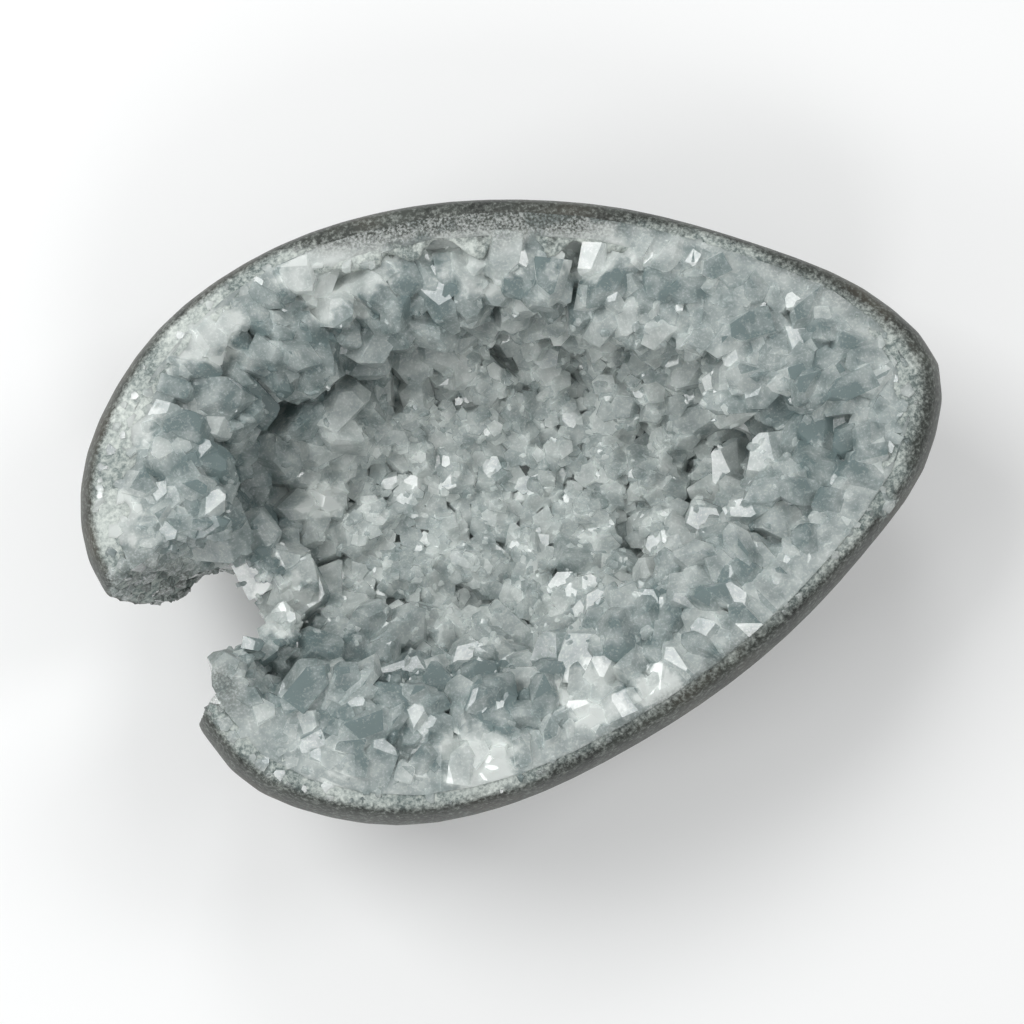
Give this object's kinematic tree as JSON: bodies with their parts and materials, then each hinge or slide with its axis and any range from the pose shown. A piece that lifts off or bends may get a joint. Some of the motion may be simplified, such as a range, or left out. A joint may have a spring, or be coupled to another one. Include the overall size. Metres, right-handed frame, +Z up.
{
  "type": "celestite geode",
  "caption": "Heart-shaped celestite geode with a polished dark rock rind, a ragged break at its cleft and a hollow lined with translucent blue-grey crystals.",
  "frame": {"origin": "on the ground resting face, under the middle of the heart's box", "axes": "+X along the heart's length, towards its tip; +Z up, out of the open hollow"},
  "size_m": [0.1404, 0.0978, 0.0456],
  "materials": {
    "rind_rock": "polished, mottled dark grey with a pale massive band at the rim, rough at the break",
    "celestite": "vitreous, translucent blue-grey crystals with cloudy white bases"
  },
  "bodies": {
    "root": {"rock_rind": "rind_rock", "crystal_crust": "celestite"}
  },
  "joints": []
}
